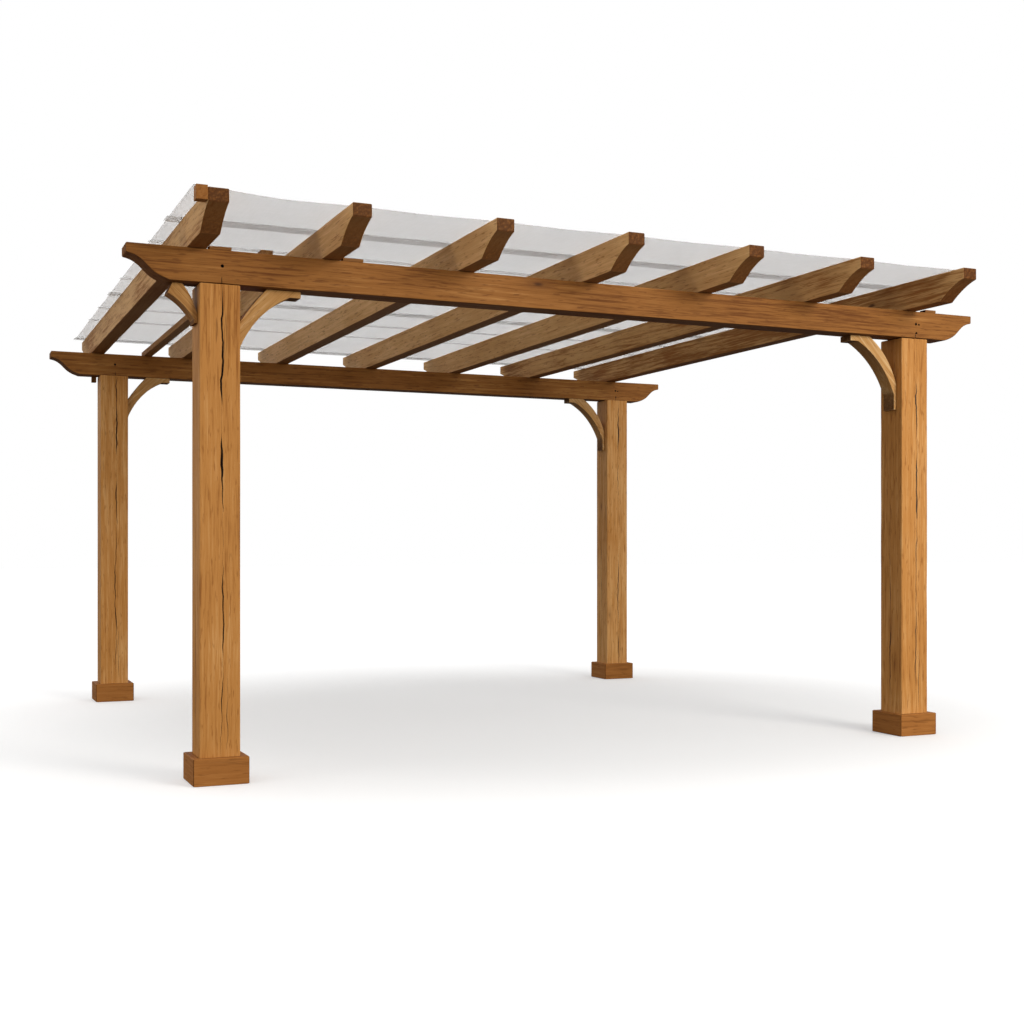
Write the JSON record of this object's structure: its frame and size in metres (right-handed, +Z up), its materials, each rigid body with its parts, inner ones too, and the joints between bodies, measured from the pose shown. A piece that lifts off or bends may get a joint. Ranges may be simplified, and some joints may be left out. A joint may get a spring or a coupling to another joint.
{
  "type": "wooden pergola",
  "caption": "Free-standing timber pergola: square posts on boarded plinths, moulded beams, cut-tailed rafters, curved braces and a stretched pale canopy.",
  "frame": {"origin": "on the ground, at the middle of the four posts", "axes": "+X along the beams to the right, +Y along the rafters to the rear, +Z up"},
  "size_m": [4.905, 4.82, 2.648],
  "materials": {
    "stained_timber": "satin stain",
    "plinth_timber": "satin stain",
    "rafter_timber": "satin stain",
    "brace_timber": "satin stain",
    "canopy_cloth": "matt woven",
    "batten_cloth": "matt woven"
  },
  "bodies": {
    "root": {"post_front_left": "stained_timber", "post_front_right": "stained_timber", "post_rear_left": "stained_timber", "post_rear_right": "stained_timber", "plinth_front_left": "plinth_timber", "plinth_front_right": "plinth_timber", "plinth_rear_left": "plinth_timber", "plinth_rear_right": "plinth_timber", "beam_front": "stained_timber", "beam_rear": "stained_timber", "rafter_1": "rafter_timber", "rafter_2": "rafter_timber", "rafter_3": "rafter_timber", "rafter_4": "rafter_timber", "rafter_5": "rafter_timber", "rafter_6": "rafter_timber", "rafter_7": "rafter_timber", "brace_front_left": "brace_timber", "brace_front_right": "brace_timber", "brace_rear_left": "brace_timber", "brace_rear_right": "brace_timber", "side_brace": "brace_timber", "side_rail": "brace_timber", "rafter_cleats": "brace_timber", "canopy_corner_block": "brace_timber", "rear_peg": "brace_timber", "canopy_sheet": "canopy_cloth", "canopy_batten_1": "batten_cloth", "canopy_batten_2": "batten_cloth", "canopy_batten_3": "batten_cloth", "canopy_batten_4": "batten_cloth", "canopy_batten_5": "batten_cloth", "canopy_batten_6": "batten_cloth", "canopy_batten_7": "batten_cloth", "canopy_batten_8": "batten_cloth"}
  },
  "joints": []
}
